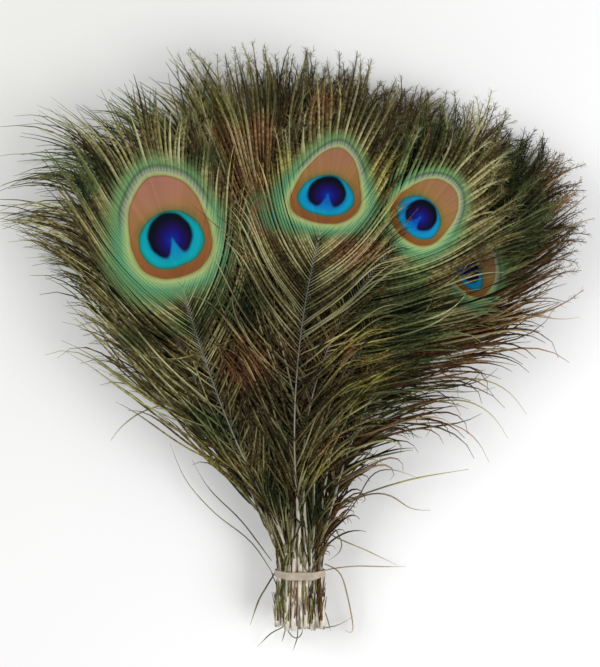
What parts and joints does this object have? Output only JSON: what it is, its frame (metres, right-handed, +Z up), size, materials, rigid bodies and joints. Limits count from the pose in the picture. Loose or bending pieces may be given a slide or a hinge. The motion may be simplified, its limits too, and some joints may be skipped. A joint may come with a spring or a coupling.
{
  "type": "peacock feather bunch",
  "caption": "Fan-shaped bunch of cut peacock tail feathers with eye markings, held by a rubber band round the quills, lying flat.",
  "frame": {"origin": "on the surface the bunch lies on, under the middle of its bounding box", "axes": "+Y from the cut quill ends to the feather tips, +X to the right seen from above, +Z up from the surface"},
  "size_m": [0.2908, 0.2738, 0.0474],
  "materials": {
    "feather": "soft barbs, bronze-olive with iridescent eye markings; pale quills",
    "rubber_band": "matte, pinkish beige"
  },
  "bodies": {
    "root": {"feather_01": "feather", "feather_02": "feather", "feather_03": "feather", "feather_04": "feather", "feather_05": "feather", "feather_06": "feather", "feather_07": "feather", "feather_08": "feather", "feather_09": "feather", "feather_10": "feather", "feather_11": "feather", "feather_12": "feather", "feather_13": "feather", "feather_14": "feather", "feather_15": "feather", "feather_16": "feather", "feather_17": "feather", "feather_18": "feather", "feather_19": "feather", "feather_20": "feather", "feather_21": "feather", "feather_22": "feather", "feather_23": "feather", "feather_24": "feather", "feather_25": "feather", "feather_26": "feather", "feather_27": "feather", "feather_28": "feather", "feather_29": "feather", "feather_30": "feather", "feather_31": "feather", "feather_32": "feather", "feather_33": "feather", "rubber_band": "rubber_band"}
  },
  "joints": []
}
